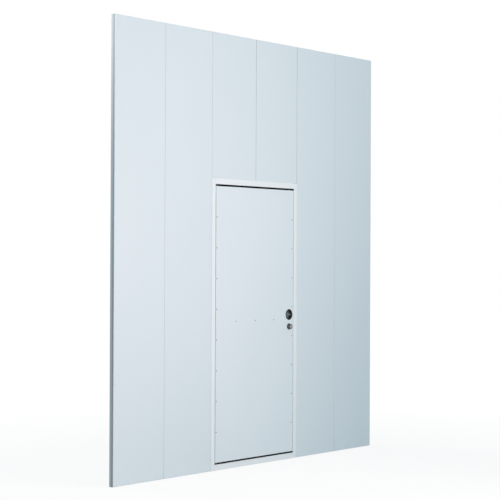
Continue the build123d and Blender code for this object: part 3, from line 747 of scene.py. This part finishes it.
handle_metal = plated_steel("handle metal", (0.15, 0.162, 0.176), roughness=0.34)
gasket("handle_gasket", "handle_cup", reach=0.0022, width=0.005)
cup = finished_copy("handle_cup", thick_edge)
paint(cup, satin_black)
grip_edge = 0.0008
grip = finished_copy("turn_grip", grip_edge)
paint(grip, handle_metal)
cam = finished_copy("latch_cam", thick_edge)
paint(cam, fitting_steel)
grip_low, grip_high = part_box("turn_grip")
spindle_end = ((grip_low.x + grip_high.x) / 2, grip_high.y, (grip_low.z + grip_high.z) / 2)
cam_washer_radius = 0.0085
cam_washer_face = 0.0014
end_bolt_radius = 0.0062
end_bolt_face = 0.0058
spindle_bolt = joined(
    "spindle bolt",
    [
        turned("washer", cam_washer_radius, 0.0, cam_washer_face, sides=28, eased=0.0003, steps=2),
        turned("head", end_bolt_radius, cam_washer_face, end_bolt_face, sides=6, eased=0.0007, steps=2),
    ],
)
end_bolt = set_out("spindle_end_bolt", spindle_bolt, [spindle_end], (0, 1, 0))
dress(end_bolt, fitting_steel, "latch")
bpy.data.objects.remove(spindle_bolt)

# Cylinder lock
# A tapered dark collar on a rubber gasket round the bright key plug, and inside a thumb turn on its rose.
# Two small screws hold the rose to the leaf.
lock_metal = plated_steel("lock metal", (0.13, 0.135, 0.145), roughness=0.36)
plug_metal = plated_steel("plug metal", (0.6, 0.6, 0.58), roughness=0.28)
gasket("lock_gasket", "lock_cylinder", reach=0.002, width=0.004)
for node in ("lock_cylinder", "thumb_turn"):
    lock = finished_copy(node, thick_edge)
    paint(lock, lock_metal)
plug = finished_copy("key_plug", plate_edge)
paint(plug, plug_metal)
rose_low, rose_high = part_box("thumb_turn")
rose_middle = (rose_low + rose_high) / 2
rose_face = rose_low.y + 0.004
rose_screw_apart = 0.0115  # each way from the rose's middle
rose_places = [(rose_middle.x + side * rose_screw_apart, rose_face, rose_middle.z) for side in (-1, 1)]
dress(set_out("rose_screws", small_screw, rose_places, (0, 1, 0)), fitting_steel, "door")
bpy.data.objects.remove(plate_screw)
bpy.data.objects.remove(small_screw)

# Studio
# A white floor that keeps the wall's soft shadow, and a soft bluish room. A warm lamp in front of the door
# is aimed to the left and up, a cool one far in front fills, and two more light the back and the left end.
floor_reach = 60.0
floor_drop = 0.001
bpy.ops.object.select_all(action="DESELECT")
bpy.ops.mesh.primitive_plane_add(size=floor_reach, location=(0, 0, -floor_drop))
floor = bpy.context.object
floor.name = "studio_floor"


def seen_rays(nodes, links):
    """One for rays that show the studio itself: to the camera, in reflections and through glass."""
    rays = nodes.new("ShaderNodeLightPath")
    seen = nodes.new("ShaderNodeMath")
    seen.operation = "MAXIMUM"
    links.new(rays.outputs["Is Camera Ray"], seen.inputs[0])
    links.new(rays.outputs["Is Glossy Ray"], seen.inputs[1])
    every = nodes.new("ShaderNodeMath")
    every.operation = "MAXIMUM"
    links.new(seen.outputs["Value"], every.inputs[0])
    links.new(rays.outputs["Is Transmission Ray"], every.inputs[1])
    return every.outputs["Value"]


shadow_share = 0.16  # of the floor's white that is lit, and so can be in shadow
shadow_near = 1.6  # from the middle of the wall, where the shadow starts to fade
shadow_far = 4.0
floor_material, nodes, links = new_material("studio floor")
bounce = nodes["Principled BSDF"]
bounce.inputs["Base Color"].default_value = (0.45, 0.46, 0.47, 1)
bounce.inputs["Roughness"].default_value = 0.9
bounce.inputs["Specular IOR Level"].default_value = 0.0
lit_white = nodes.new("ShaderNodeBsdfDiffuse")
lit_white.inputs["Color"].default_value = (1, 1, 1, 1)
plain_white = nodes.new("ShaderNodeEmission")
place = nodes.new("ShaderNodeTexCoord")
distance = nodes.new("ShaderNodeVectorMath")
distance.operation = "LENGTH"
whiteness = nodes.new("ShaderNodeMapRange")
whiteness.inputs["From Min"].default_value = shadow_near
whiteness.inputs["From Max"].default_value = shadow_far
whiteness.inputs["To Min"].default_value = 1.0 - shadow_share
whiteness.inputs["To Max"].default_value = 1.0
white = nodes.new("ShaderNodeMixShader")
links.new(place.outputs["Object"], distance.inputs[0])
links.new(distance.outputs["Value"], whiteness.inputs["Value"])
links.new(whiteness.outputs["Result"], white.inputs["Fac"])
links.new(lit_white.outputs["BSDF"], white.inputs[1])
links.new(plain_white.outputs["Emission"], white.inputs[2])
mixed = nodes.new("ShaderNodeMixShader")
links.new(seen_rays(nodes, links), mixed.inputs["Fac"])
links.new(bounce.outputs["BSDF"], mixed.inputs[1])
links.new(white.outputs["Shader"], mixed.inputs[2])
links.new(mixed.outputs["Shader"], nodes["Material Output"].inputs["Surface"])
paint(floor, floor_material)

world = bpy.data.worlds.new("studio room")
bpy.context.scene.world = world
world.use_nodes = True
nodes = world.node_tree.nodes
links = world.node_tree.links
room = nodes["Background"]
room.inputs["Color"].default_value = (0.83, 0.95, 1.0, 1)
room.inputs["Strength"].default_value = 0.6
backdrop = nodes.new("ShaderNodeBackground")
backdrop.inputs["Color"].default_value = (1, 1, 1, 1)
mixed = nodes.new("ShaderNodeMixShader")
links.new(seen_rays(nodes, links), mixed.inputs["Fac"])
links.new(room.outputs["Background"], mixed.inputs[1])
links.new(backdrop.outputs["Background"], mixed.inputs[2])
links.new(mixed.outputs["Shader"], nodes["World Output"].inputs["Surface"])


def add_lamp(name, place, target, size, energy, colour):
    """A round soft lamp that shines from its place towards a target."""
    bpy.ops.object.light_add(type="AREA", location=place)
    lamp = bpy.context.object
    lamp.name = name
    lamp.data.shape = "DISK"
    lamp.data.size = size
    lamp.data.energy = energy
    lamp.data.color = colour
    lamp.rotation_euler = (Vector(target) - Vector(place)).to_track_quat("-Z", "Y").to_euler()


wall_middle = (0.0, 0.0, 1.4)
add_lamp(
    "key_lamp",
    place=(0.49, -4.19, 1.45),
    target=(-2.0, -3.415, 2.225),
    size=2.0,
    energy=139.0,
    colour=(1.0, 0.78, 0.69),
)
add_lamp(
    "fill_lamp",
    place=(-0.5, -12.0, 3.0),
    target=wall_middle,
    size=5.0,
    energy=440.0,
    colour=(0.94, 1.0, 1.0),
)
add_lamp(
    "back_lamp",
    place=(-1.5, 8.0, 4.0),
    target=wall_middle,
    size=4.0,
    energy=230.0,
    colour=(1.0, 0.95, 0.9),
)
add_lamp(
    "end_lamp",
    place=(-2.2, 0.12, 3.0),
    target=(-1.35, 0.03, 2.6),
    size=0.4,
    energy=6.2,
    colour=(1.0, 0.95, 0.92),
)

# Camera
# It stands to the left at about chest height and looks at the wall some 50 degrees off square.
# Its place, turn and focal length are fitted to the panel seams, the door frame and the rivets.
camera_place = (-7.775, -6.317, 1.376)
turn_right = math.radians(50.687)
look_up = math.radians(0.344)
lean = math.radians(0.25)
picture_width = 500
focal_length = 1492.5  # in the same pixels
bpy.ops.object.camera_add()
camera = bpy.context.object
camera.matrix_world = (
    Matrix.Translation(camera_place)
    @ Matrix.Rotation(-turn_right, 4, "Z")
    @ Matrix.Rotation(math.pi / 2 + look_up, 4, "X")
    @ Matrix.Rotation(lean, 4, "Z")
)
camera.data.sensor_width = 36.0
camera.data.lens = focal_length / picture_width * camera.data.sensor_width
camera.data.clip_end = 200.0
bpy.context.scene.camera = camera
bpy.context.scene.view_settings.view_transform = "Standard"
